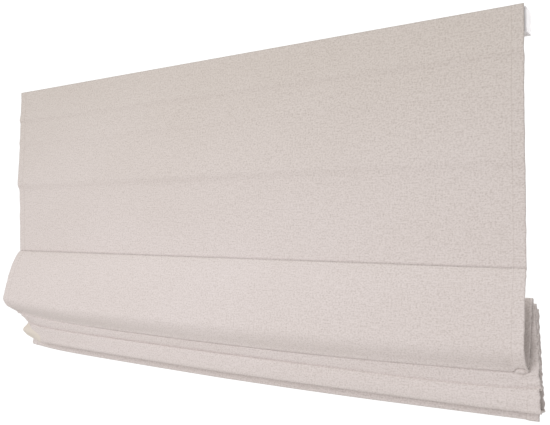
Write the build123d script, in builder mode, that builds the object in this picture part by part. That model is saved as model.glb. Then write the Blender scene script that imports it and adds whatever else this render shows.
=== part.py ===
"""Roman blind, part raised: a cloth panel on a chain-driven headrail, folding in front of its lift cords.

Millimetres. X runs along the blind, -Y is the room side, the wall is the plane Y = 0 and Z is up.
The origin is on the wall, midway between the two screw holes of the middle bracket.
"""
import os
from math import pi

from build123d import *

os.makedirs("parts", exist_ok=True)

# ---------------------------------------------------------------- driving dimensions
# Cloth panel, as cut and hemmed
cloth_width = 1200
cloth_thick = 1.2
first_rod = 76          # top edge to the first rod
rod_pitch = 316         # cloth between two neighbouring rods
tail_length = 160       # last rod to the bottom edge
hem_depth = 35          # turned up around the bottom bar
hem_room = 6            # between the two layers of the hem

# How the raised pleats lie
stack_drop = 52         # second rod down to the third
stack_step = 9          # each later rod lies this much lower
leg_gap = 6             # the two layers that hang from one rod
pleat_gap = 4           # from one rod's layers to the next rod's
pleat_slack = [18, 22, 3]       # cloth that each pleat spends on its bulge, front to back
front_bulge = 38        # how far the front pleat stands out of the hanging plane
front_turn = 20         # width of the front pleat's rounded bottom
second_bulge = 14
second_turn = 14
third_turn = 8
turn_share = 0.4        # radius of a turn, as a share of its width
soft_bend = 30
crease_depth = 222      # soft crease across the hanging face
crease_bulge = 12
crease_radius = 8

# Headrail
rail_overhang = 2.5     # end plates stand this far past the cloth
rail_depth = 30
rail_height = 37
rail_wall = 1.4
rail_top = 14           # above the wall screws
wall_gap = 14           # rail's back to the wall
slot_depth = 3          # bracket slot along the rail's top
slot_lip = 1.2
slot_mouth = 10
slot_width = 18
tape_thick = 1          # each half of the hook and loop tape
tape_height = 20
cloth_above_rail = 4
end_plate = 3

# Brackets
bracket_x = 520
bracket_width = 34
bracket_thick = 1.5
bracket_drop = 17
bracket_hole_spacing = 18
bracket_hole_radius = 2.25

# Drive
shaft_side = 6
shaft_end_radius = 2.5
spool_to_floor = 1.7    # flange to the cradle's floor
spool_length = 34
spool_core_radius = 7.5
spool_flange_radius = 10.5
spool_flange = 1.5
journal_radius = 5.5
journal_length = 6
spool_play = 1          # spool to each cradle wall
running_clearance = 0.08
socket_clearance = 0.05
winding_clearance = 0.05
cradle_wall = 3
cradle_floor = 2.4
cradle_clearance = 0.1
cord_radius = 0.7
cord_x = 480
cord_exit_length = 12
cord_exit_depth = 6
cord_start = 5.2        # below the axis, where the cord is clear of the turns
cord_to_lip = 0.65      # lift cord to the inward lip along the rail's open bottom
cord_bend = 300         # where it is guided gently
ring_bend = 3           # where it turns in a ring of the stack

# Control unit and chain wheel
wheel_radius = 10.5
wheel_width = 8
wheel_play = 0.3
wheel_groove = 1.5
hub_radius = 6
hub_past_plug = 2
socket_length = 12
wheel_room = 1.6
pocket_radius = 2.3
pocket_count = 10
axle_radius = 3
control_width = 14
control_wall = 2.5
cover_thick = 2.5
cover_clearance = 0.05
plug_length = 16
plug_clearance = 0.1
plug_wall = 2

# Stiffening rods, sleeves, rings and the bottom bar
rod_radius = 2
tip_inset = 16          # tip's end to the cloth's side edge
tip_length = 8
tip_wall = 0.6
tip_end = 1
sleeve_clearance = 0.3
sleeve_thick = 0.5
sleeve_seat = 0.3       # sleeve to the cloth it is sewn to
sleeve_inset = 28
flange_height = 10
clip_thick = 0.9
clip_clearance = 0.05
clip_width = 8
clip_side = 0.5         # clip's open edge, past the rod's middle
ring_radius = 4
ring_wire = 0.8
ring_lift = 2           # ring above the rod it is clipped to
lock_radius = 2.6
lock_length = 6
lock_gap = 0.3
bar_height = 25
bar_thick = 3
bar_round = 1
bar_inset = 24
bar_cap_wall = 0.6
bar_cap_length = 12
bar_cap_past = 3
bar_seat = 0.3

# ---------------------------------------------------------------- derived places
rail_front = -wall_gap - rail_depth
rail_mid = -wall_gap - rail_depth / 2
rail_bottom = rail_top - rail_height
rail_ceiling = rail_top - slot_depth - rail_wall
cloth_mid = rail_front - 2 * tape_thick - cloth_thick / 2
cloth_top = rail_top + cloth_above_rail
half_cloth = cloth_width / 2
far_end = half_cloth + rail_overhang
rail_left = -far_end + control_width
rail_right = far_end - end_plate
rail_length = rail_right - rail_left
rail_inner = rail_depth - 2 * rail_wall

rod_depths = [first_rod, first_rod + rod_pitch]
rod_depths += [rod_depths[1] + stack_drop + n * stack_step for n in range(3)]
sleeve_radius = rod_radius + sleeve_clearance + sleeve_thick
leg_fronts = [-pleat_gap - n * (leg_gap + pleat_gap) for n in range(3)]
tail_bottom = rod_depths[4] + tail_length
cord_mean_radius = spool_core_radius + cord_radius
cord_reach = cord_mean_radius + winding_clearance + cord_radius
rail_lip = rail_inner / 2 - cord_reach - cord_to_lip
axis_height = rail_bottom + rail_wall + cradle_floor + spool_to_floor + spool_flange_radius


def place(forward, depth):
    """A point of the YZ section: how far in front of the hanging plane, how far below the top."""
    return (cloth_mid - forward, cloth_top - depth)


def bottom_of(pleat):
    """Depth of a pleat's lowest point, from the cloth between its two rods."""
    return (rod_depths[pleat + 1] + rod_depths[pleat + 2] + rod_pitch) / 2 - pleat_slack[pleat]


# Axis of each rod: behind the hanging cloth, or on top of the fold that carries it
behind_cloth = -cloth_thick / 2 - sleeve_radius - sleeve_seat
above_fold = cloth_thick / 2 + sleeve_radius + sleeve_seat
rod_axes = [place(behind_cloth, rod_depths[n]) for n in range(2)]
rod_axes += [place(leg_fronts[n] - leg_gap / 2, rod_depths[n + 2] - above_fold) for n in range(3)]
clip_radius = sleeve_radius + clip_thick
ring_back = clip_radius + ring_radius - clip_thick / 2
ring_axes = [(y + ring_back, z + ring_lift) for y, z in rod_axes]
cord_places = {"left": -cord_x, "middle": 0, "right": cord_x}


# ---------------------------------------------------------------- headrail
with BuildPart() as headrail:
    with BuildSketch(Plane.YZ.offset(rail_left)):
        with Locations((rail_mid, rail_top - rail_height / 2)):
            Rectangle(rail_depth, rail_height)
        with Locations((rail_mid, (rail_ceiling + rail_bottom + rail_wall) / 2)):
            Rectangle(rail_inner, rail_ceiling - rail_bottom - rail_wall, mode=Mode.SUBTRACT)
        with Locations((rail_mid, rail_bottom + rail_wall / 2)):
            Rectangle(rail_inner - 2 * rail_lip, rail_wall, mode=Mode.SUBTRACT)
        with Locations((rail_mid, rail_top - (slot_depth + slot_lip) / 2)):
            Rectangle(slot_width, slot_depth - slot_lip, mode=Mode.SUBTRACT)
        with Locations((rail_mid, rail_top - slot_lip / 2)):
            Rectangle(slot_mouth, slot_lip, mode=Mode.SUBTRACT)
    extrude(amount=rail_length)
headrail.part.label = "headrail"
export_step(headrail.part, "parts/headrail.step")

# Hook tape glued to the rail's front, loop tape sewn to the back of the cloth
tape_mid = rail_top - rail_height / 2
for name, front in (("hook_tape", rail_front), ("loop_tape", rail_front - tape_thick)):
    with BuildPart() as tape:
        with BuildSketch(Plane.YZ.offset(rail_left)):
            with Locations((front - tape_thick / 2, tape_mid)):
                Rectangle(tape_thick, tape_height)
        extrude(amount=rail_length)
    tape.part.label = name
    export_step(tape.part, f"parts/{name}.step")

# ---------------------------------------------------------------- brackets
# One pressed strip: a leg on the wall, a leg over the rail and a clip that hooks into the rail's slot
leg_bottom = -bracket_drop
clip_top = rail_top - slot_lip
clip_half = slot_width / 2 - 1
stem_half = slot_mouth / 2 - 1
for name, x in (("left", -bracket_x), ("middle", 0), ("right", bracket_x)):
    with BuildPart() as bracket:
        with BuildSketch(Plane.YZ.offset(x - bracket_width / 2)):
            with BuildLine():
                Polyline(
                    (0, leg_bottom),
                    (0, rail_top + bracket_thick),
                    (rail_mid - stem_half, rail_top + bracket_thick),
                    (rail_mid - stem_half, clip_top),
                    (rail_mid - clip_half, clip_top),
                    (rail_mid - clip_half, clip_top - slot_lip),
                    (rail_mid + clip_half, clip_top - slot_lip),
                    (rail_mid + clip_half, clip_top),
                    (rail_mid + stem_half, clip_top),
                    (rail_mid + stem_half, rail_top),
                    (-bracket_thick, rail_top),
                    (-bracket_thick, leg_bottom),
                    close=True,
                )
            make_face()
        extrude(amount=bracket_width)
        with Locations(Plane((x, 0, 0), x_dir=(1, 0, 0), z_dir=(0, 1, 0))):
            with GridLocations(bracket_hole_spacing, 1, 2, 1):
                Hole(bracket_hole_radius, depth=4 * bracket_thick)
    bracket.part.label = f"bracket_{name}"
    export_step(bracket.part, f"parts/bracket_{name}.step")

# ---------------------------------------------------------------- cloth
# One panel, drawn as its folded section and extruded over the full width
centre_line = [
    place(0, 0),
    place(0, first_rod),
    place(crease_bulge, crease_depth),
    place(crease_bulge / 3, crease_depth + crease_bulge),
    place(0, rod_depths[1]),
    place(0.75 * front_bulge, rod_depths[1] + 0.3 * (bottom_of(0) - rod_depths[1])),
    place(front_bulge, rod_depths[1] + 0.7 * (bottom_of(0) - rod_depths[1])),
    place(front_turn + leg_gap, bottom_of(0)),
    place(leg_gap, bottom_of(0)),
    place(leg_fronts[0], rod_depths[2]),
    place(leg_fronts[0] - leg_gap, rod_depths[2]),
    place(leg_fronts[0] - leg_gap, bottom_of(0) - 2 * second_bulge),
    place(second_bulge, bottom_of(0) + 1.1 * second_bulge),
    place(second_bulge, bottom_of(1)),
    place(second_bulge - second_turn, bottom_of(1)),
    place(leg_fronts[1] + leg_gap / 2, bottom_of(0) - 2 * second_bulge),
    place(leg_fronts[1], rod_depths[3]),
    place(leg_fronts[1] - leg_gap, rod_depths[3]),
    place(leg_fronts[1] + leg_gap, bottom_of(2)),
    place(leg_fronts[1] + leg_gap - third_turn, bottom_of(2)),
    place(leg_fronts[2], rod_depths[4]),
    place(leg_fronts[2] - leg_gap, rod_depths[4]),
    place(leg_fronts[2] - leg_gap, tail_bottom),
    place(leg_fronts[2] - leg_gap - hem_room, tail_bottom),
    place(leg_fronts[2] - leg_gap - hem_room, tail_bottom - hem_depth),
]
hang_rounds = [soft_bend, crease_radius, crease_radius, crease_radius, soft_bend, soft_bend]
turns = [front_turn, leg_gap, second_turn, leg_gap, third_turn, leg_gap, hem_room]
turn_rounds = [turn_share * width for width in turns for _ in range(2)]
rounds = hang_rounds + turn_rounds[:4] + [soft_bend, second_bulge]
rounds += turn_rounds[4:6] + [soft_bend] + turn_rounds[6:]
with BuildPart() as cloth:
    with BuildSketch(Plane.YZ.offset(-half_cloth)):
        with BuildLine() as panel:
            FilletPolyline(*centre_line, radius=rounds)
        trace(line_width=cloth_thick)
    extrude(amount=cloth_width)
cloth.part.label = "cloth"
export_step(cloth.part, "parts/cloth.step")
print("cloth along its section", round(sum(e.length for e in panel.line.edges()), 1))
print("cut length with hem", first_rod + 4 * rod_pitch + tail_length + hem_room + hem_depth)

# ---------------------------------------------------------------- control unit, at the left end
axis_point = (rail_mid, axis_height)
rail_centre = (rail_mid, (rail_top + rail_bottom) / 2)
plug_bottom = rail_bottom + rail_wall
plug_top = rail_ceiling - plug_clearance
plug_centre = (rail_mid, (plug_top + plug_bottom) / 2)
plug_size = (rail_inner - 2 * plug_clearance, plug_top - plug_bottom)
wheel_space = wheel_radius + wheel_room
cavity_start = -far_end + control_wall
cover_start = rail_left - cover_thick
wheel_start = cavity_start + wheel_play
wheel_end = wheel_start + wheel_width
hub_end = rail_left + plug_length + hub_past_plug
axle_length = wheel_width - wheel_play
with BuildPart() as control_housing:
    with BuildSketch(Plane.YZ.offset(-far_end)):
        with Locations(rail_centre):
            Rectangle(rail_depth, rail_height)
    extrude(amount=control_width)
    fillet(control_housing.faces().sort_by(Axis.X)[0].edges(), radius=1)
    with BuildSketch(Plane.YZ.offset(cavity_start)):
        with Locations(axis_point):
            Circle(wheel_space)
    extrude(amount=control_width, mode=Mode.SUBTRACT)
    # both strands of the operating chain leave through this slot
    with BuildSketch(Plane.YZ.offset(cavity_start)):
        with Locations((rail_mid, (axis_height + rail_bottom) / 2)):
            Rectangle(2 * wheel_space, axis_height - rail_bottom)
    extrude(amount=cover_start - cavity_start, mode=Mode.SUBTRACT)
    with BuildSketch(Plane.YZ.offset(cavity_start)):
        with Locations(axis_point):
            Circle(axle_radius)
    extrude(amount=axle_length)
control_housing.part.label = "control_housing"
export_step(control_housing.part, "parts/control_housing.step")

# The plug closes the wheel's space and carries the end of the rail
with BuildPart() as control_plug:
    with BuildSketch(Plane.YZ.offset(cover_start)):
        with Locations(axis_point):
            Circle(wheel_space - cover_clearance)
    extrude(amount=cover_thick)
    with BuildSketch(Plane.YZ.offset(rail_left)):
        with Locations(plug_centre):
            Rectangle(*plug_size)
    extrude(amount=plug_length)
    with BuildSketch(Plane.YZ.offset(cover_start)):
        with Locations(axis_point):
            Circle(hub_radius + running_clearance)
    extrude(amount=cover_thick + plug_length, mode=Mode.SUBTRACT)
control_plug.part.label = "control_plug"
export_step(control_plug.part, "parts/control_plug.step")

# Grooved wheel with ball pockets; its hub runs in the plug and holds the shaft in a square socket
with BuildPart() as chain_wheel:
    with BuildSketch(Plane.YZ.offset(wheel_start)):
        with Locations(axis_point):
            Circle(wheel_radius)
    extrude(amount=wheel_width)
    with BuildSketch(Plane.YZ.offset(wheel_end)):
        with Locations(axis_point):
            Circle(hub_radius)
    extrude(amount=hub_end - wheel_end)
    with BuildSketch(Plane.YZ.offset(wheel_start)):
        with Locations(axis_point):
            Circle(axle_radius + running_clearance)
    extrude(amount=wheel_width, mode=Mode.SUBTRACT)
    with BuildSketch(Plane.YZ.offset(hub_end - socket_length)):
        with Locations(axis_point):
            Rectangle(shaft_side + 2 * socket_clearance, shaft_side + 2 * socket_clearance)
    extrude(amount=socket_length, mode=Mode.SUBTRACT)
    wheel_middle = Plane.YZ.offset(wheel_start + wheel_width / 2)
    with Locations(wheel_middle):
        with Locations(axis_point):
            Torus(wheel_radius + pocket_radius - wheel_groove, pocket_radius, mode=Mode.SUBTRACT)
            with PolarLocations(wheel_radius, pocket_count):
                Sphere(pocket_radius, mode=Mode.SUBTRACT)
chain_wheel.part.label = "chain_wheel"
export_step(chain_wheel.part, "parts/chain_wheel.step")

# ---------------------------------------------------------------- right end cap
with BuildPart() as end_cap:
    with BuildSketch(Plane.YZ.offset(rail_right)):
        with Locations(rail_centre):
            Rectangle(rail_depth, rail_height)
    extrude(amount=end_plate)
    fillet(end_cap.faces().sort_by(Axis.X)[-1].edges(), radius=1)
    with BuildSketch(Plane.YZ.offset(rail_right - plug_length)):
        with Locations(plug_centre):
            Rectangle(*plug_size)
            Rectangle(plug_size[0] - 2 * plug_wall, plug_size[1] - 2 * plug_wall, mode=Mode.SUBTRACT)
        with Locations(axis_point):
            Circle(hub_radius)
    extrude(amount=plug_length)
    with BuildSketch(Plane.YZ.offset(rail_right - plug_length)):
        with Locations(axis_point):
            Circle(shaft_end_radius + running_clearance)
    extrude(amount=plug_length, mode=Mode.SUBTRACT)
    # a web ties the bearing boss to the floor and the roof of the plug
    with BuildSketch(Plane.YZ.offset(rail_right - plug_length + plug_wall)):
        with Locations((rail_mid, (axis_height + hub_radius + plug_top) / 2)):
            Rectangle(plug_wall, plug_top - axis_height - hub_radius)
    extrude(amount=plug_length - plug_wall)
end_cap.part.label = "end_cap"
export_step(end_cap.part, "parts/end_cap.step")

# ---------------------------------------------------------------- drive shaft
shaft_start = hub_end - socket_length + running_clearance
journal_start = rail_right - plug_length - 2 * plug_wall
with BuildPart() as drive_shaft:
    with BuildSketch(Plane.YZ.offset(shaft_start)):
        with Locations(axis_point):
            Rectangle(shaft_side, shaft_side)
    extrude(amount=journal_start - shaft_start)
    with BuildSketch(Plane.YZ.offset(journal_start)):
        with Locations(axis_point):
            Circle(shaft_end_radius)
    extrude(amount=rail_right - journal_start - running_clearance)
drive_shaft.part.label = "drive_shaft"
export_step(drive_shaft.part, "parts/drive_shaft.step")

# ---------------------------------------------------------------- spools, cradles and lift cords
paid_out = (rod_pitch - stack_drop) + 2 * (rod_pitch - stack_step)
turns_length = paid_out / (2 * pi * cord_mean_radius) * 2 * cord_radius
cradle_reach = spool_length / 2 + spool_play
cradle_top = axis_height + journal_radius + cradle_wall
cord_line = rail_mid - cord_mean_radius - winding_clearance
for name, x in cord_places.items():
    with BuildPart() as spool:
        with BuildSketch(Plane.YZ.offset(x - spool_length / 2 - journal_length)):
            with Locations(axis_point):
                Circle(journal_radius)
        extrude(amount=spool_length + 2 * journal_length)
        with BuildSketch(Plane.YZ.offset(x - spool_length / 2)):
            with Locations(axis_point):
                Circle(spool_core_radius)
        extrude(amount=spool_length)
        for start in (x - spool_length / 2, x + spool_length / 2 - spool_flange):
            with BuildSketch(Plane.YZ.offset(start)):
                with Locations(axis_point):
                    Circle(spool_flange_radius)
            extrude(amount=spool_flange)
        with BuildSketch(Plane.YZ.offset(x - spool_length / 2 - journal_length)):
            with Locations(axis_point):
                Rectangle(shaft_side + 2 * socket_clearance, shaft_side + 2 * socket_clearance)
        extrude(amount=spool_length + 2 * journal_length, mode=Mode.SUBTRACT)
    spool.part.label = f"spool_{name}"
    export_step(spool.part, f"parts/spool_{name}.step")

    # The wound turns are one closed sleeve on the spool's core
    with BuildPart() as cord_turns:
        with BuildSketch(Plane.YZ.offset(x - turns_length / 2)):
            with Locations(axis_point):
                Circle(cord_mean_radius + cord_radius + winding_clearance)
                Circle(spool_core_radius + winding_clearance, mode=Mode.SUBTRACT)
        extrude(amount=turns_length)
    cord_turns.part.label = f"cord_turns_{name}"
    export_step(cord_turns.part, f"parts/cord_turns_{name}.step")

    # Cradle: a floor on the rail's lips and two end walls with the spool's bearings
    with BuildPart() as cradle:
        with BuildSketch(Plane.YZ.offset(x - cradle_reach - cradle_wall)):
            with Locations((rail_mid, (plug_bottom + cradle_top) / 2)):
                Rectangle(rail_inner - 2 * cradle_clearance, cradle_top - plug_bottom)
        extrude(amount=2 * (cradle_reach + cradle_wall))
        with BuildSketch(Plane.YZ.offset(x - cradle_reach)):
            with Locations((rail_mid, (plug_bottom + cradle_floor + cradle_top) / 2)):
                Rectangle(rail_depth, cradle_top - plug_bottom - cradle_floor)
        extrude(amount=2 * cradle_reach, mode=Mode.SUBTRACT)
        with BuildSketch(Plane.YZ.offset(x - cradle_reach - cradle_wall)):
            with Locations(axis_point):
                Circle(journal_radius + running_clearance)
        extrude(amount=2 * (cradle_reach + cradle_wall), mode=Mode.SUBTRACT)
        with BuildSketch(Plane.XY.offset(plug_bottom)):
            with Locations((x, cord_line)):
                SlotOverall(cord_exit_length, cord_exit_depth)
        extrude(amount=cradle_floor, mode=Mode.SUBTRACT)
    cradle.part.label = f"cradle_{name}"
    export_step(cradle.part, f"parts/cradle_{name}.step")

    # Lift cord: down the back of the cloth, through a ring at each rod.
    # The fourth ring is in line with the third and the fifth, so it is no corner of the route.
    lock_top = ring_axes[4][1] - ring_wire - lock_gap
    route = [(x, cord_line, axis_height - cord_start)]
    route += [(x, *ring_axes[n]) for n in (0, 1, 2, 4)]
    route += [(x, ring_axes[4][0], lock_top - lock_length / 2)]
    with BuildPart() as lift_cord:
        with BuildLine() as run:
            FilletPolyline(*route, radius=[cord_bend, cord_bend, ring_bend, ring_bend])
        with BuildSketch(Plane(run.line @ 0, z_dir=run.line % 0)):
            Circle(cord_radius)
        sweep()
    lift_cord.part.label = f"lift_cord_{name}"
    export_step(lift_cord.part, f"parts/lift_cord_{name}.step")
    cord_length = sum(edge.length for edge in run.line.edges())
    print(f"lift cord {name}", round(cord_length, 1), "mm free,", round(paid_out, 1), "mm wound")

with BuildPart() as cord_locks:
    for x in cord_places.values():
        with BuildSketch(Plane.XY.offset(lock_top)):
            with Locations((x, ring_axes[4][0])):
                Circle(lock_radius)
                Circle(cord_radius + cover_clearance, mode=Mode.SUBTRACT)
        extrude(amount=-lock_length)
cord_locks.part.label = "cord_locks"
export_step(cord_locks.part, "parts/cord_locks.step")

# ---------------------------------------------------------------- rods, tips, sleeves and rings
tip_start = half_cloth - tip_inset - tip_length
half_rod = tip_start + tip_length - tip_end
half_sleeve = half_cloth - sleeve_inset
for number, axis in enumerate(rod_axes, start=1):
    with BuildPart() as rod:
        with BuildSketch(Plane.YZ.offset(-half_rod)):
            with Locations(axis):
                Circle(rod_radius)
        extrude(amount=2 * half_rod)
    rod.part.label = f"rod_{number}"
    export_step(rod.part, f"parts/rod_{number}.step")

    with BuildPart() as rod_tips:
        for start, inward in ((tip_start, 0), (-tip_start - tip_length, tip_end)):
            with BuildSketch(Plane.YZ.offset(start)):
                with Locations(axis):
                    Circle(rod_radius + tip_wall)
            extrude(amount=tip_length)
            with BuildSketch(Plane.YZ.offset(start + inward)):
                with Locations(axis):
                    Circle(rod_radius)
            extrude(amount=tip_length - tip_end, mode=Mode.SUBTRACT)
    rod_tips.part.label = f"rod_tips_{number}"
    export_step(rod_tips.part, f"parts/rod_tips_{number}.step")

    # Sewn sleeve of tape: its flange lies along the hanging cloth, or flat on top of a fold
    hanging = number <= 2
    y, z = axis
    with BuildPart() as rod_sleeve:
        with BuildSketch(Plane.YZ.offset(-half_sleeve)):
            with Locations(axis):
                Circle(sleeve_radius)
            if hanging:
                with Locations((y - sleeve_radius + sleeve_thick / 2, z + flange_height / 2)):
                    Rectangle(sleeve_thick, flange_height)
            else:
                with Locations((y, z - sleeve_radius + sleeve_thick / 2)):
                    Rectangle(leg_gap, sleeve_thick)
            with Locations(axis):
                Circle(sleeve_radius - sleeve_thick, mode=Mode.SUBTRACT)
        extrude(amount=2 * half_sleeve)
    rod_sleeve.part.label = f"rod_sleeve_{number}"
    export_step(rod_sleeve.part, f"parts/rod_sleeve_{number}.step")

    # Each ring clips over the sleeve from behind, or from above in the stack
    ring_y, ring_z = ring_axes[number - 1]
    with BuildPart() as cord_rings:
        for x in cord_places.values():
            with BuildSketch(Plane.YZ.offset(x - clip_width / 2)):
                with Locations(axis):
                    Circle(clip_radius)
                    Circle(sleeve_radius + clip_clearance, mode=Mode.SUBTRACT)
                cut = 2 * clip_radius
                if hanging:
                    with Locations((y - cut / 2 + clip_side, z)):
                        Rectangle(cut, cut, mode=Mode.SUBTRACT)
                else:
                    with Locations((y, z - cut / 2 + clip_side)):
                        Rectangle(cut, cut, mode=Mode.SUBTRACT)
            extrude(amount=clip_width)
            with Locations((x, ring_y, ring_z)):
                Torus(ring_radius, ring_wire)
    cord_rings.part.label = f"cord_rings_{number}"
    export_step(cord_rings.part, f"parts/cord_rings_{number}.step")

# ---------------------------------------------------------------- bottom bar in the hem
hem_mid = leg_fronts[2] - leg_gap - hem_room / 2
bar_bottom = tail_bottom - cloth_thick / 2 - bar_seat - bar_cap_wall
bar_y, bar_z = place(hem_mid, bar_bottom - bar_height / 2)
half_bar = half_cloth - bar_inset
with BuildPart() as bottom_bar:
    with BuildSketch(Plane.YZ.offset(-half_bar)):
        with Locations((bar_y, bar_z)):
            RectangleRounded(bar_thick, bar_height, bar_round)
    extrude(amount=2 * half_bar)
bottom_bar.part.label = "bottom_bar"
export_step(bottom_bar.part, "parts/bottom_bar.step")

with BuildPart() as bar_caps:
    cap_size = (bar_thick + 2 * bar_cap_wall, bar_height + 2 * bar_cap_wall)
    for side in (-1, 1):
        outer_end = side * (half_bar + bar_cap_past)
        with BuildSketch(Plane.YZ.offset(outer_end)):
            with Locations((bar_y, bar_z)):
                RectangleRounded(*cap_size, bar_round + bar_cap_wall)
        extrude(amount=-side * bar_cap_length)
        with BuildSketch(Plane.YZ.offset(side * half_bar)):
            with Locations((bar_y, bar_z)):
                RectangleRounded(bar_thick, bar_height, bar_round)
        extrude(amount=-side * (bar_cap_length - bar_cap_past), mode=Mode.SUBTRACT)
bar_caps.part.label = "bar_caps"
export_step(bar_caps.part, "parts/bar_caps.step")
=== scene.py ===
# %% [markdown]
# # A roman blind, part raised
# The CAD frame holds the headrail, the rods, the cords and every moving body. This lesson dresses it.
# It folds the cloth into its soft pleats, thickens the hems and gives each part its real finish.
# The frame is loaded first and never moved, so that each new piece can take its place from it.

# %% Load the frame
from math import pi, radians, sin

import bmesh
import bpy
import numpy as np
from mathutils import Matrix, Vector, noise


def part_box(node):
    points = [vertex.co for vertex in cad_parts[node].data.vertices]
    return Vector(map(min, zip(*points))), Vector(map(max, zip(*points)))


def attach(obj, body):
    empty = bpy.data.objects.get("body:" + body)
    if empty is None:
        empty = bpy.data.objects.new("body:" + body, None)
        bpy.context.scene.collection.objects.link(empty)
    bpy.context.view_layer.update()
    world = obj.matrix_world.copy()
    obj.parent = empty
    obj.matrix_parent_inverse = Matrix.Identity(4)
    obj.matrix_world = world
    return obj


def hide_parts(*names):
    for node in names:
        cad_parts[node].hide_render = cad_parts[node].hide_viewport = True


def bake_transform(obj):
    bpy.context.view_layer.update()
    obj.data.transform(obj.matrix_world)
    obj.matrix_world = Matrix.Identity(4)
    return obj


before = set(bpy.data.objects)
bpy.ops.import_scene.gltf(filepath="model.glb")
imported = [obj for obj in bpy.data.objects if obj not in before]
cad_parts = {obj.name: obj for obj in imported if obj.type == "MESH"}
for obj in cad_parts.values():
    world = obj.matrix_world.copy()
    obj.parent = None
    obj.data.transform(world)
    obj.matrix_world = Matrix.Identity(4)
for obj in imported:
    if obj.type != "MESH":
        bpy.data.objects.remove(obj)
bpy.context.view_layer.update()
MM = 0.001

# %% [markdown]
# Every place below is worked out from the frame. The cloth's section has two directions of its own:
# how far a point stands *in front* of the hanging plane, and how far *below* the top edge it is.
# People who sew blinds think in these two, so one small function turns them into the frame's Y and Z.

# %% Places taken from the frame
cloth_low, cloth_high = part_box("cloth")
tape_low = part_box("loop_tape")[0]
half_width = cloth_high.x
cloth_thick = 1.2 * MM
hanging_y = tape_low.y - cloth_thick / 2
top_z = cloth_high.z


def node_middle(name):
    low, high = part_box(name)
    return (low + high) / 2


def place(x, forward, below):
    """A point of the frame from millimetres in front of the hanging plane and below the top edge."""
    return Vector((x, hanging_y - forward * MM, top_z - below * MM))


def below_top(name):
    return (top_z - node_middle(name).z) / MM


def behind_plane(name):
    return (hanging_y - node_middle(name).y) / MM


rod_below = {number: below_top(f"rod_{number}") for number in range(1, 6)}
rod_seat = 3.7          # rod axis to the middle of the cloth under it
seam = rod_below[2]
fold_top = {number: rod_below[number] + rod_seat for number in (3, 4, 5)}
fold_mid = {number: behind_plane(f"rod_{number}") for number in (3, 4, 5)}
tail_below = (top_z - cloth_low.z) / MM
print("rods below the top edge", {n: round(v) for n, v in rod_below.items()}, "tail", round(tail_below))

# %% [markdown]
# ## The camera
# The blind is seen from beyond its right end, a little below its top edge, through a normal lens.
# The camera is placed before anything is shaped, so that every test picture can be compared.

# %% Camera
camera_data = bpy.data.cameras.new("camera")
camera_data.lens = 43.2
camera_data.sensor_width = 36
camera_data.clip_end = 50
camera = bpy.data.objects.new("camera", camera_data)
camera.location = (half_width + 0.233, hanging_y - 1.010, top_z - 0.327)
camera.rotation_euler = (radians(90 + 1.04), 0, radians(33.77))
bpy.context.scene.collection.objects.link(camera)
bpy.context.scene.camera = camera
print("camera", [round(v, 3) for v in camera.location])

# %% [markdown]
# ## Helpers for materials
# Each finish is a small node tree. One function adds a node with its settings and links, and one turns
# the sRGB colours that people read off a colour card into the linear values that the shader wants.


# %% Material helpers
def linear(hex_colour):
    parts = [int(hex_colour[i:i + 2], 16) / 255 for i in (1, 3, 5)]
    return [c / 12.92 if c <= 0.04045 else ((c + 0.055) / 1.055) ** 2.4 for c in parts] + [1.0]


def add(tree, kind, links=(), settings=(), steps=(), **values):
    """Adds one node: values set its input sockets, settings its own fields, links join sockets to it.
    Steps, for a node that has a colour ramp, are its positions and colours."""
    node = tree.nodes.new(kind)
    for field, value in dict(settings).items():
        setattr(node, field, value)
    for number, (position, colour) in enumerate(steps):
        node.color_ramp.elements[number].position = position
        node.color_ramp.elements[number].color = linear(colour)
    for socket, value in values.items():
        node.inputs[socket.replace("_", " ")].default_value = value
    for output, socket in links:
        tree.links.new(output, node.inputs[socket])
    return node


def new_material(name, colour, roughness, metallic=0.0):
    material = bpy.data.materials.new(name)
    material.use_nodes = True
    shader = material.node_tree.nodes["Principled BSDF"]
    shader.inputs["Base Color"].default_value = linear(colour)
    shader.inputs["Roughness"].default_value = roughness
    shader.inputs["Metallic"].default_value = metallic
    return material, material.node_tree, shader


print("helpers ready")

# %% [markdown]
# ## The fabric
# The cloth is a heathered linen-look polyester: a plain weave of slubby yarn, matt, with a faint sheen
# of loose fibres. It follows the folds, so its pattern reads the cloth's own UV map, which is in metres
# of flat cloth. Real yarns are half a millimetre apart, too fine for the picture, so the weave is drawn
# two to three times as coarse. Long slubs run across, shorter ones down, over a slow drift of tone.


# %% Woven cloth
HEM = 18                # width of the side hem
HEM_LINE_SHADE = 0.3    # how much of the dark yarn shows on the hem's line


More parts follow.
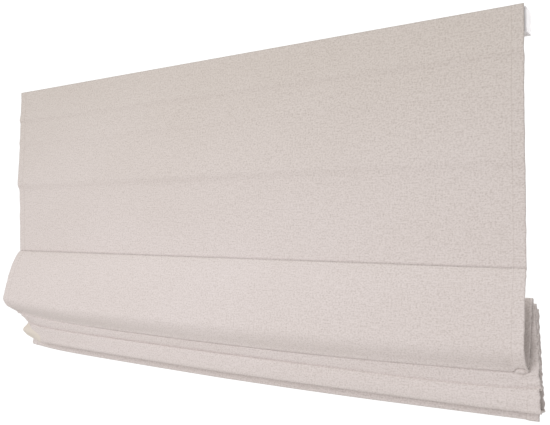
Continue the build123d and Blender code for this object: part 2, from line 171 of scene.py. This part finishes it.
def woven_cloth(name, dark="#C8C0BB", light="#EEE8E6", warm="#E0D8D1", lining="#EBE5DA"):
    material, tree, shader = new_material(name, light, 0.92)
    shader.inputs["Sheen Weight"].default_value = 0.25
    shader.inputs["Sheen Roughness"].default_value = 0.5
    shader.inputs["Specular IOR Level"].default_value = 0.2
    flat = add(tree, "ShaderNodeUVMap", settings={"uv_map": "flat"}).outputs["UV"]

    def yarn(across, down, detail):
        stretch = add(tree, "ShaderNodeMapping", [(flat, "Vector")], Scale=(across, down, 1))
        return add(tree, "ShaderNodeTexNoise", [(stretch.outputs["Vector"], "Vector")],
                   Scale=1.0, Detail=detail, Roughness=0.6).outputs["Fac"]

    # Knots, slubs and warp give the dry, heathered grain of linen; the drift keeps it uneven.
    grain = yarn(290, 380, 2)       # knots where thick yarns cross, 3 to 4 mm apart
    slubs = yarn(45, 560, 2)        # weft yarns, about 1.8 mm apart, streaks 22 mm long
    ends = yarn(560, 110, 2)        # warp yarns
    drift = yarn(2.2, 3.5, 2)
    crossed = add(tree, "ShaderNodeMath", [(slubs, 0), (ends, 1)], {"operation": "ADD"}).outputs[0]
    weave = add(tree, "ShaderNodeMath", [(crossed, 0), (grain, 2)], {"operation": "MULTIPLY_ADD"})
    weave.inputs[1].default_value = 0.4
    yarns = add(tree, "ShaderNodeValToRGB", [(weave.outputs[0], "Fac")],
                steps=[(0.6, dark), (1, light)])
    toned = add(tree, "ShaderNodeValToRGB", [(drift, "Fac")], steps=[(0.35, warm), (0.65, light)])
    mix = add(tree, "ShaderNodeMix", [(yarns.outputs["Color"], "A"), (toned.outputs["Color"], "B")],
              {"data_type": "RGBA"}, Factor=0.2)
    sides = add(tree, "ShaderNodeSeparateXYZ", [(flat, "Vector")])
    across = add(tree, "ShaderNodeMath", [(sides.outputs["X"], 0)], {"operation": "ABSOLUTE"})
    off_line = add(tree, "ShaderNodeMath", [(across.outputs[0], 0)], {"operation": "SUBTRACT"})
    off_line.inputs[1].default_value = half_width - HEM * MM
    near = add(tree, "ShaderNodeMath", [(off_line.outputs[0], 0)], {"operation": "COMPARE"})
    near.inputs[1].default_value = 0
    near.inputs[2].default_value = 0.9 * MM
    faint = add(tree, "ShaderNodeMath", [(near.outputs[0], 0)], {"operation": "MULTIPLY"})
    faint.inputs[1].default_value = HEM_LINE_SHADE
    hem_line = add(tree, "ShaderNodeMix", [(faint.outputs[0], "Factor"), (mix.outputs["Result"], "A")],
                   {"data_type": "RGBA"}, B=linear(dark))
    # Painted shade: the base colour is darkened towards the top edge, where the rail behind the cloth
    # blocks the light that comes through it.
    painted_top_shade = add(tree, "ShaderNodeValToRGB", [(sides.outputs["Y"], "Fac")],
                 steps=[(0.02, "#EFEFEA"), (0.42, "#FFFFFF")])
    # The plain cream lining, which shows where a corner of the cloth is turned back.
    turned = add(tree, "ShaderNodeAttribute", settings={"attribute_name": "lining"})
    reverse = add(tree, "ShaderNodeMapRange", [(turned.outputs["Fac"], "Value")],
                  From_Min=0.45, From_Max=0.55)
    lined = add(tree, "ShaderNodeMix",
                [(reverse.outputs["Result"], "Factor"), (hem_line.outputs["Result"], "A")],
                {"data_type": "RGBA"}, B=linear(lining))
    # The painted shade towards the top edge multiplies the cloth's colour.
    painted_shade_mix = add(tree, "ShaderNodeMix", [(lined.outputs["Result"], "A"), (painted_top_shade.outputs["Color"], "B")],
              {"data_type": "RGBA", "blend_type": "MULTIPLY"}, Factor=1.0)
    tree.links.new(painted_shade_mix.outputs["Result"], shader.inputs["Base Color"])
    relief = add(tree, "ShaderNodeBump", [(weave.outputs[0], "Height")],
                 Distance=0.25 * MM, Strength=0.4)
    tree.links.new(relief.outputs["Normal"], shader.inputs["Normal"])
    return material


fabric = woven_cloth("woven_linen_look_polyester")
print("fabric", fabric.name)

# %% [markdown]
# ## How the cloth folds
# A real panel hangs flat to the second rod. Below it the lift cords hold three more rods in a stack,
# and the cloth between two rods has nowhere to go but forward and down, in a soft teardrop. Each leaf
# of a pleat is drawn here as a few corners of its section, which are then rounded by cutting corners
# again and again, the way a limp cloth rounds them. The left end bulges more than the right one.


# %% Section of each leaf
def soften(corners, rows, cuts=3):
    """A section's corners rounded by repeated corner cutting, then spaced evenly in rows."""
    line = np.array(corners, float)
    for _ in range(cuts):
        near = 0.75 * line[:-1] + 0.25 * line[1:]
        far = 0.25 * line[:-1] + 0.75 * line[1:]
        line = np.vstack([line[:1], np.stack([near, far], 1).reshape(-1, 2), line[-1:]])
    length = np.append(0, np.cumsum(np.linalg.norm(np.diff(line, axis=0), axis=1)))
    even = np.linspace(0, length[-1], rows)
    return np.stack([np.interp(even, length, line[:, k]) for k in (0, 1)], 1)


def lean(u, left, middle, right):
    """A value that runs from the left end over the middle to the right end, smoothly; u is -1 to 1."""
    end = left if u < 0 else right
    share = u * u * (3 - 2 * abs(u))
    return middle + (end - middle) * share


def edge_rise(u, inset=18, across=8):
    """From 0 to 1 over the last few millimetres of the cloth, past the end of the rods."""
    share = min(1, max(0, (abs(u) * half_width / MM - (half_width / MM - inset)) / across))
    return share * share * (3 - 2 * share)


def left_corner(u, reach=0.09):
    """From 0 to 1 over the last few centimetres at the left end, where the pleats are drawn back."""
    return max(0, (-u - 1 + reach) / reach)


def hem_curl(u):
    """Up to 1 on the right hem, where the front pleat's lower corner is rolled under; 0 inside it."""
    share = min(1, max(0, (u * half_width / MM - (half_width / MM - HEM - 2)) / (HEM + 2)))
    return max(0, sin(pi * share)) ** 0.6


def hem_dent(u):
    """Up to 1 just inside the right hem, where that roll pulls a small dent into the cloth."""
    return max(0, 1 - abs(u * half_width / MM - (half_width / MM - HEM - 5)) / 7)


print("hem roll at the right edge", round(hem_curl(1 - 0.5 * HEM * MM / half_width), 2))

# %% [markdown]
# Seen along the blind, the pleats' lower edges aren't straight. They rise towards both ends, where
# nothing weighs them down, and they ripple a little between the cords.


# %% Lower edges of the pleats
def pleat_bottoms(u):
    """Lowest point of the three pleats and of the tail, in millimetres below the top edge."""
    ripple = noise.noise(Vector((2.1 * u, 3.3, 0)))
    left, right = max(-u, 0), max(u, 0)
    return (
        555.5 - 11 * left ** 4 - 4 * right - 8 * right ** 4 + ripple,
        578.5 - 9 * left ** 6 - 2 * right - 8 * right ** 8 - ripple,
        612 - 5 * left ** 6 - 6 * right - 4 * right ** 8 + ripple,
        633.5 - 4 * left ** 3 - 6 * left ** 12 - 7 * right - 6 * right ** 2 + 0.5 * ripple,
    )


print("leaves end at", [round(v) for v in pleat_bottoms(0)])

# %% [markdown]
# The face and the first pleat are what people see. Soft creases cross the face where it was folded for
# its box. The pleat leaves the sewn line of the second rod and comes back under itself to a narrow lip.


# %% Face and first pleat
def face_leaf(u):
    """From the top edge over the soft crease to the sewn line of the second rod."""
    out = lean(u, 9, 9, 5)
    sag = 1.2 * noise.noise(Vector((1.7 * u, 0.4, 1)))
    return [
        (0, 0), (0, 30), (2.2, 60), (5 + sag, 70), (1.2, 77), (2.8, 86), (3.4, 116), (5.6 + sag, 127),
        (3.8, 134), (4.4, 150), (0.8 * out, 190), (out + sag, 224), (out + sag, 232), (0.5 * out, 240),
        (0.4 * out, 254), (2.2, 320), (1.8, 372), (1.4, seam - 3), (0.8, seam),
    ]


def front_leaf_1(u):
    """The pleat that shows most: out to its belly, and back under to a narrow lip."""
    out, lip, curl = lean(u, 45, 36, 20), lean(u, 8, 15, 1), hem_curl(u)
    low = pleat_bottoms(u)[0]
    return [
        (0.8, seam), (0.2 * out, seam + 6), (0.58 * out, seam + 35), (0.86 * out, seam + 77),
        (1.03 * out, low - 46), (1.06 * out, low - 36), (0.93 * out, low - 25),
        (lip + 0.5 * (out - lip) - 5 * hem_dent(u), low - 14), (lip + 2 - 4 * hem_dent(u), low - 6),
        (lip, low - 1 - 8 * curl), (lip - 2 - 2 * curl, low - 8 * curl),
        (lip - 4 - 3 * curl, low - 8 * curl),
    ]


def back_leaf_1(u):
    lip, curl = lean(u, 8, 15, 1), hem_curl(u)
    low = pleat_bottoms(u)[0]
    front = fold_mid[3] + 3
    crest = fold_top[3] - 8 * edge_rise(u)
    return [
        (lip - 4 - 3 * curl, low - 8 * curl), (lip - 4 + 4 * curl, low - 4 * curl),
        (lip - 4 + 4 * curl, low + 2 * curl), (lip - 6, low + 1.5 * curl), (0.3 * lip - 5, low - 16),
        (-5, 505), (front, 470), (front, crest), (fold_mid[3], crest),
    ]


print("first pleat stands out", round(max(forward for forward, _ in front_leaf_1(0))), "mm")

# %% [markdown]
# The second and third pleats hide behind the first, and only their lowest strips show. The tail hangs
# behind them all, with its hem turned up round the bottom bar.


# %% Second and third pleats, and the tail
def front_leaf_2(u):
    """Only a narrow strip of this pleat shows, under the lip of the first."""
    low_1, low_2 = pleat_bottoms(u)[:2]
    corner = left_corner(u)
    back, out, under = fold_mid[3] - 3, lean(u, 7, 9, -4), lean(u, 1, 2, -8) - 13 * corner
    crest = fold_top[3] - 8 * edge_rise(u)
    return [
        (fold_mid[3], crest), (back, crest), (back - 0.5, 500), (back - 1, low_1 - 22),
        (min(-2, out - 4), low_1 - 3), (out, low_1 + 1), (out - 1, low_1 + 6), (under, low_2 - 2),
        (min(-6, under - 3), low_2 + 0.3), (-12, low_2),
    ]


def back_leaf_2(u):
    low_2 = pleat_bottoms(u)[1]
    front = fold_mid[4] + 3
    crest = fold_top[4] - 8 * edge_rise(u)
    return [
        (-12, low_2), (-14, low_2), (-13, low_2 - 20), (front, 500), (front, 470), (front, crest),
        (fold_mid[4], crest),
    ]


def front_leaf_3(u):
    """The third pleat rests against the second one's underside and ends in a sharp lower edge."""
    low_2, low_3 = pleat_bottoms(u)[1:3]
    corner = left_corner(u)
    back, out, touch = fold_mid[4] - 3, lean(u, 1, 5, -2), lean(u, 1, 2, -8) - 13 * corner
    crest = fold_top[4] - 8 * edge_rise(u)
    return [
        (fold_mid[4], crest), (back, crest), (back, 520), (back + 1, low_2 - 22),
        (-17, low_2), (-13, low_2 + 1.4), (touch - 5, low_2 + 1.4), (touch + 1.5, low_2 - 3.5),
        (touch + 3, low_2 + 2), (out + 2 * corner, low_2 + 13), (out + 2 * corner, low_2 + 20),
        (out - 1 - 12 * corner, low_3 - 6), (out - 2 - 20 * corner, low_3 - 0.5),
        (out - 5 - 18 * corner, low_3), (-21, low_3), (-24, low_3),
    ]


def back_leaf_3(u):
    low_3 = pleat_bottoms(u)[2]
    front = fold_mid[5] + 3
    crest = fold_top[5] - 8 * edge_rise(u)
    return [
        (-24, low_3), (-25, low_3 - 1), (front, low_3 - 16), (front, 520), (front, 480), (front, crest),
        (fold_mid[5], crest),
    ]


def tail_leaf(u):
    """The hanging tail, its turned-up hem round the bottom bar included."""
    low = pleat_bottoms(u)[3]
    back = fold_mid[5] - 3
    crest = fold_top[5] - 8 * edge_rise(u)
    return [
        (fold_mid[5], crest), (back, crest), (back, 520), (back, low - 8), (back, low),
        (back - 6, low), (back - 6, low - 8), (back - 6, low - 45),
    ]


print("tail ends", round(tail_leaf(0)[4][1]), "mm below the top edge")

# %% [markdown]
# The stack doesn't hang square. Each leaf behind the face has slipped sideways a little, so its edge
# shows past the face at the right. The slip grows leaf by leaf, and each leaf takes up where the last
# one ended, because it is all one cloth.

# %% Leaves in order: section, body, next body, rows and slip in millimetres at its start and end
LEAVES = [
    ("cloth_face", face_leaf, "head", None, 90, 0, 1.5),
    ("cloth_front_1", front_leaf_1, "head", None, 70, 1.5, 2),
    ("cloth_back_1", back_leaf_1, "head", "third_rod", 40, 2, 8),
    ("cloth_front_2", front_leaf_2, "third_rod", None, 60, 8, 19),
    ("cloth_back_2", back_leaf_2, "third_rod", "fourth_rod", 40, 19, 11),
    ("cloth_front_3", front_leaf_3, "fourth_rod", None, 60, 11, 20),
    ("cloth_back_3", back_leaf_3, "fourth_rod", "bottom", 40, 20, 12),
    ("cloth_tail", tail_leaf, "bottom", None, 60, 12, 10),
]
COLUMNS = 160


def column_places():
    """Where the columns of the mesh stand across the cloth, in -1 to 1, closer together at the hems."""
    inset = np.array([0, 2, 5, 9, 13, HEM - 1.5, HEM, HEM + 1.5, HEM + 5, HEM + 9, HEM + 13])
    edge = 1 - inset * MM / half_width
    inner = np.linspace(-edge[-1], edge[-1], COLUMNS - 2 * len(edge) + 3)[1:-1]
    return np.concatenate([-edge, inner, edge[::-1]])


columns = column_places()
print("columns", len(columns))

# %% [markdown]
# Each leaf starts as one flat grid, as the cloth did. The grid's own position is kept as the UV map of
# flat metres, and then every row of vertices is carried to its place on the section. The weave can
# therefore never slide: it is fixed to the cloth before the cloth is folded.


# %% Fold one leaf
FLAP_TOP, FLAP_HEIGHT, FLAP_WIDTH = 568, 26, 62     # turned-back lining, left end of the third pleat


def wander(x, along, seed):
    """Slow unevenness of a hanging cloth, in millimetres."""
    return noise.noise(Vector((x * 3.1, along * 4.3, seed)))


def fold_leaf(name, section, rows, slip_start, slip_end, flat_start):
    sheet = bmesh.new()
    bmesh.ops.create_grid(sheet, x_segments=len(columns) - 1, y_segments=rows - 1, size=1)
    sheet.verts.ensure_lookup_table()
    lines = [soften(section(u), rows) for u in columns]
    middle = lines[len(lines) // 2]
    length = np.linalg.norm(np.diff(middle, axis=0), axis=1).sum()
    flat = sheet.loops.layers.uv.new("flat")
    lining = sheet.verts.layers.float.new("lining")
    steps = {}
    for vertex in sheet.verts:
        column = round((vertex.co.x + 1) / 2 * (len(columns) - 1))
        row = round((1 - vertex.co.y) / 2 * (rows - 1))
        steps[vertex] = (column, row)
    for face in sheet.faces:
        for loop in face.loops:
            column, row = steps[loop.vert]
            along = flat_start + row / (rows - 1) * length
            loop[flat].uv = (columns[column] * half_width, along * MM)
    for vertex, (column, row) in steps.items():
        u, share = columns[column], row / (rows - 1)
        forward, below = lines[column][row]
        slip = slip_start + (slip_end - slip_start) * share
        rumple = (0.8 + 0.14 * slip) * abs(u) ** 12
        edge_wave = rumple * wander(u, share * 5 + flat_start * 0.01, 7)
        forward += rumple * min(1, share * 8, (1 - share) * 8) * wander(u * 9, share * 4, 11)
        depth_wave = 0.7 * wander(u, (flat_start + share * length) * 0.004, 2) * min(1, share * 6)
        if section is front_leaf_3 and below > FLAP_TOP:
            reach = min(1, max(0, (below - FLAP_TOP) / FLAP_HEIGHT)) * FLAP_WIDTH * MM
            vertex[lining] = 0.5 + (reach - (1 + u) * half_width) / (20 * MM)
        vertex.co = place(u * half_width + (slip + edge_wave) * MM, forward + depth_wave, below)
    mesh = bpy.data.meshes.new(name)
    sheet.to_mesh(mesh)
    sheet.free()
    leaf = bpy.data.objects.new(name, mesh)
    bpy.context.scene.collection.objects.link(leaf)
    return leaf, length


print("folding ready")

# %% [markdown]
# A hem is two layers of cloth, so the side edges are thicker. The Solidify modifier gives the sheet its
# thickness, and a vertex group makes that thickness grow over the hem's width.


# %% Thickness and hems
def thicken(leaf):
    group = leaf.vertex_groups.new(name="layers")
    group.add(list(range(len(leaf.data.vertices))), 0.5, "REPLACE")
    hem_columns = [i for i, u in enumerate(columns) if (1 - abs(u)) * half_width < (HEM + 0.1) * MM]
    rows = len(leaf.data.vertices) // len(columns)
    for row in range(rows):
        group.add([row * len(columns) + i for i in hem_columns], 1.0, "REPLACE")
    modifier = leaf.modifiers.new("thickness", "SOLIDIFY")
    modifier.thickness = 2 * cloth_thick
    modifier.offset = 0
    modifier.vertex_group = "layers"
    modifier.use_even_offset = False
    for polygon in leaf.data.polygons:
        polygon.use_smooth = True


flat_start = 0.0
cloth_pieces = []
for name, section, body, next_body, rows, slip_start, slip_end in LEAVES:
    leaf, length = fold_leaf(name, section, rows, slip_start, slip_end, flat_start)
    thicken(leaf)
    leaf.data.materials.append(fabric)
    cloth_pieces.append((leaf, body, next_body, length))
    flat_start += length
print("cloth leaves", [(leaf.name, round(length)) for leaf, _, _, length in cloth_pieces])
print("whole cloth", round(flat_start), "mm")

# %% [markdown]
# The face and the front leaves ride on the body that carries them. A back leaf joins two bodies; it is
# left where the frame has it, with its placement baked into its mesh.

# %% Carry the cloth
for leaf, body, next_body, length in cloth_pieces:
    if next_body is None:
        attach(leaf, body)
    else:
        last = len(leaf.data.vertices) - len(columns)
        heights = [vertex.co.z for vertex in leaf.data.vertices]
        ends = [heights[:len(columns)], heights[last:]]
        low, high = max(min(ends, key=min)), min(max(ends, key=max))
        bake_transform(leaf)
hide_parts("cloth")
print("cloth carried")

# %% [markdown]
# ## Lift cords
# Three braided cords run down behind the cloth through the rings. Between two rods a cord is straight,
# and it grows longer as the blind comes down, so each stretch is a piece of its own; one that joins two
# bodies is left where the frame has it, with its placement baked into its mesh.

# %% Cord material and stretches
# Diagonal strands give the cord its twisted look and a soft, dull white.
braid, braid_tree, braid_shader = new_material("braided_polyester_cord", "#DEDDDA", 0.7)
cord_place = add(braid_tree, "ShaderNodeTexCoord").outputs["Object"]
strands = add(braid_tree, "ShaderNodeTexWave", [(cord_place, "Vector")],
              {"wave_type": "BANDS", "bands_direction": "DIAGONAL"}, Scale=900.0, Distortion=1.0)
strand_relief = add(braid_tree, "ShaderNodeBump", [(strands.outputs["Fac"], "Height")],
                    Distance=0.2 * MM, Strength=0.7)
braid_tree.links.new(strand_relief.outputs["Normal"], braid_shader.inputs["Normal"])


RING_BACK = 4.8         # from the rear of the rings to the middle of their hole
RING_LIFT = 0.8         # from the bottom of the rings to the cord


def ring_place(number, x):
    """Middle of the ring of one cord at one rod, from the frame's group of rings."""
    low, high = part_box(f"cord_rings_{number}")
    return Vector((x, high.y - RING_BACK * MM, low.z + RING_LIFT * MM))


def cord_stretch(name, start, end, around, sides=10):
    direction = (end - start).normalized()
    tube = bmesh.new()
    turn = direction.to_track_quat("Z", "X").to_matrix().to_4x4()
    bmesh.ops.create_circle(tube, segments=sides, radius=around,
                            matrix=Matrix.Translation(start) @ turn)
    ring = list(tube.edges)
    steps = max(2, int((end - start).length / 0.02))
    for _ in range(steps):
        grown = bmesh.ops.extrude_edge_only(tube, edges=ring)["geom"]
        moved = [g for g in grown if isinstance(g, bmesh.types.BMVert)]
        bmesh.ops.translate(tube, verts=moved, vec=(end - start) / steps)
        ring = [g for g in grown if isinstance(g, bmesh.types.BMEdge)]
    bmesh.ops.holes_fill(tube, edges=tube.edges)
    bmesh.ops.recalc_face_normals(tube, faces=tube.faces)
    mesh = bpy.data.meshes.new(name)
    tube.to_mesh(mesh)
    tube.free()
    piece = bpy.data.objects.new(name, mesh)
    bpy.context.scene.collection.objects.link(piece)
    piece.data.materials.append(braid)
    return piece


print("cord stretches ready")

# %% Hang the cords
CORD_RADIUS = 0.7 * MM
for side in ("left", "middle", "right"):
    low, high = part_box(f"lift_cord_{side}")
    x = (low.x + high.x) / 2
    stops = [Vector((x, low.y + CORD_RADIUS, high.z))] + [ring_place(n, x) for n in (1, 2, 3, 4, 5)]
    stops.append(Vector((x, stops[-1].y, low.z)))
    stretches = [("head", None, 0, 1), ("head", None, 1, 2), ("head", "third_rod", 2, 3),
                 ("third_rod", "fourth_rod", 3, 4), ("fourth_rod", "bottom", 4, 5),
                 ("bottom", None, 5, 6)]
    for count, (body, next_body, a, b) in enumerate(stretches, start=1):
        piece = cord_stretch(f"lift_cord_{side}_{count}", stops[a], stops[b], CORD_RADIUS)
        if next_body is None:
            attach(piece, body)
        else:
            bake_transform(piece)
        if count == 1:
            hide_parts(f"lift_cord_{side}")
print("cords hung")

# %% [markdown]
# ## Hard parts
# The headrail and its ends are the only hard parts that show. The rest sits behind the cloth or inside
# the rail, and gets the finish that such parts have.

# %% White and clear plastics, painted rail
def speckled(material, tree, shader, scale, distance, strength=0.4):
    """Fine even grain of a moulded or sprayed surface, as bump on Object coordinates."""
    where = add(tree, "ShaderNodeTexCoord").outputs["Object"]
    grain = add(tree, "ShaderNodeTexNoise", [(where, "Vector")], Scale=scale, Detail=2.0)
    relief = add(tree, "ShaderNodeBump", [(grain.outputs["Fac"], "Height")],
                 Distance=distance, Strength=strength)
    tree.links.new(relief.outputs["Normal"], shader.inputs["Normal"])
    return material


# Paint and plastics: white or milky, half gloss, with the faint orange peel of spraying and moulding.
rail_paint = speckled(*new_material("powder_coated_aluminium", "#F1F2F4", 0.42), 1400, 0.00012)
white_abs = speckled(*new_material("white_moulded_abs", "#F4F5F8", 0.38), 900, 0.0001, 0.3)
grey_pom = speckled(*new_material("natural_acetal", "#DADBD8", 0.35), 700, 0.0001, 0.3)
clear_nylon = speckled(*new_material("natural_nylon", "#E2E1DA", 0.3), 900, 0.0001, 0.3)
# Metals: grey and a little blurred, so that they read as zinc plate, drawn bar and mill finish.
steel = speckled(*new_material("zinc_plated_steel", "#B4B8BC", 0.38, 1.0), 500, 0.0001, 0.5)
drawn_steel = speckled(*new_material("drawn_steel_bar", "#8E9194", 0.42, 1.0), 800, 0.0001, 0.5)
aluminium = speckled(*new_material("mill_finish_aluminium", "#C6C8CA", 0.36, 1.0), 600, 0.0001, 0.5)
# Glass fibre: pale, faintly yellow and slightly glossy.
glass_fibre = speckled(*new_material("pultruded_glass_fibre", "#E6E3D4", 0.3), 500, 0.0002, 0.5)
print("hard finishes ready")

# %% Tapes
# The rods' tape: matt, with ribs along its weave.
tape_fabric, tape_tree, tape_shader = new_material("woven_sleeve_tape", "#DCD6CC", 0.9)
tape_where = add(tape_tree, "ShaderNodeTexCoord").outputs["Object"]
tape_rib = add(tape_tree, "ShaderNodeTexWave", [(tape_where, "Vector")],
               {"wave_type": "BANDS", "bands_direction": "X"}, Scale=160.0, Distortion=0.5)
rib_relief = add(tape_tree, "ShaderNodeBump", [(tape_rib.outputs["Fac"], "Height")],
                 Distance=0.2 * MM, Strength=0.6)
tape_tree.links.new(rib_relief.outputs["Normal"], tape_shader.inputs["Normal"])

# Hook and loop: small tufts, so it looks fuzzy and swallows the light.
hook_fabric, hook_tree, hook_shader = new_material("hook_and_loop_nylon", "#E4E4E2", 0.95)
hook_where = add(hook_tree, "ShaderNodeTexCoord").outputs["Object"]
hook_tufts = add(hook_tree, "ShaderNodeTexVoronoi", [(hook_where, "Vector")], Scale=700.0)
tuft_relief = add(hook_tree, "ShaderNodeBump", [(hook_tufts.outputs["Distance"], "Height")],
                  Distance=0.5 * MM, Strength=0.8)
hook_tree.links.new(tuft_relief.outputs["Normal"], hook_shader.inputs["Normal"])
print("tapes ready")

# %% Put the finishes on the frame's own parts
FINISHES = {
    "headrail": rail_paint, "end_cap": white_abs, "control": white_abs, "bracket": steel,
    "cradle": grey_pom, "spool": grey_pom, "chain_wheel": grey_pom, "drive_shaft": drawn_steel,
    "cord_turns": braid, "hook_tape": hook_fabric, "loop_tape": hook_fabric, "rod_tips": clear_nylon,
    "rod_sleeve": tape_fabric, "rod_": glass_fibre,
    "cord_rings": clear_nylon, "cord_locks": clear_nylon,
    "bottom_bar": aluminium, "bar_caps": clear_nylon,
}
finished = 0
for name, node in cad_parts.items():
    start = next((key for key in FINISHES if name.startswith(key)), None)
    if start is None:
        continue
    node.data.materials.clear()
    node.data.materials.append(FINISHES[start])
    finished += 1
print("finished nodes", finished)

# %% [markdown]
# ## Room and light
# A pale floor lies under the fully lowered blind. The light is a bright, soft studio: a white
# surround and one large lamp in front, which models the pleats a little.

# %% Floor
FLOOR_BELOW = 1.78      # metres under the top edge, clear of the fully lowered tail
floor_data = bmesh.new()
bmesh.ops.create_circle(floor_data, cap_ends=True, segments=96, radius=2.8,
                        matrix=Matrix.Translation((0, 0, top_z - FLOOR_BELOW)))
floor_mesh = bpy.data.meshes.new("floor")
floor_data.to_mesh(floor_mesh)
floor_data.free()
floor = bpy.data.objects.new("floor", floor_mesh)
bpy.context.scene.collection.objects.link(floor)
# A matt pale paint: no gloss, so the blind leaves no reflection in it.
floor_paint = new_material("pale_studio_floor", "#E4E2E0", 0.9)[0]
floor.data.materials.append(floor_paint)
print("floor", FLOOR_BELOW, "m below the top edge")

# %% Studio light
world = bpy.data.worlds.new("studio")
world.use_nodes = True
sky = world.node_tree
surround = sky.nodes["Background"]
direction = add(sky, "ShaderNodeTexCoord").outputs["Generated"]
height = add(sky, "ShaderNodeSeparateXYZ", [(direction, "Vector")]).outputs["Z"]
sky_tone = add(sky, "ShaderNodeValToRGB", [(height, "Fac")], steps=[(0, "#BEB8BA"), (0.7, "#DAD8D2")])
sky.links.new(sky_tone.outputs["Color"], surround.inputs["Color"])
surround.inputs["Strength"].default_value = 0.95
backdrop = add(sky, "ShaderNodeBackground", Color=(1, 1, 1, 1), Strength=1.1)
seen = add(sky, "ShaderNodeLightPath").outputs["Is Camera Ray"]
either = add(sky, "ShaderNodeMixShader",
             [(seen, 0), (surround.outputs[0], 1), (backdrop.outputs[0], 2)])
sky.links.new(either.outputs[0], sky.nodes["World Output"].inputs["Surface"])
bpy.context.scene.world = world
bpy.context.scene.view_settings.view_transform = "Standard"


def soft_lamp(name, location, aim, size, power):
    data = bpy.data.lights.new(name, "AREA")
    data.size = size
    data.energy = power
    lamp = bpy.data.objects.new(name, data)
    lamp.location = location
    lamp.rotation_euler = (Vector(aim) - Vector(location)).to_track_quat("-Z", "Y").to_euler()
    bpy.context.scene.collection.objects.link(lamp)
    return lamp


key_lamp = soft_lamp("key_lamp", (-0.2, -2.2, 0.25), (-0.1, 0, -0.42), 1.0, 18.5)
soft_lamp("back_lamp", (0.6, 2.6, 0.6), (0, 0, -0.3), 1.8, 34)
key_lamp.data.color = (1.0, 0.96, 0.98)
print("light ready")
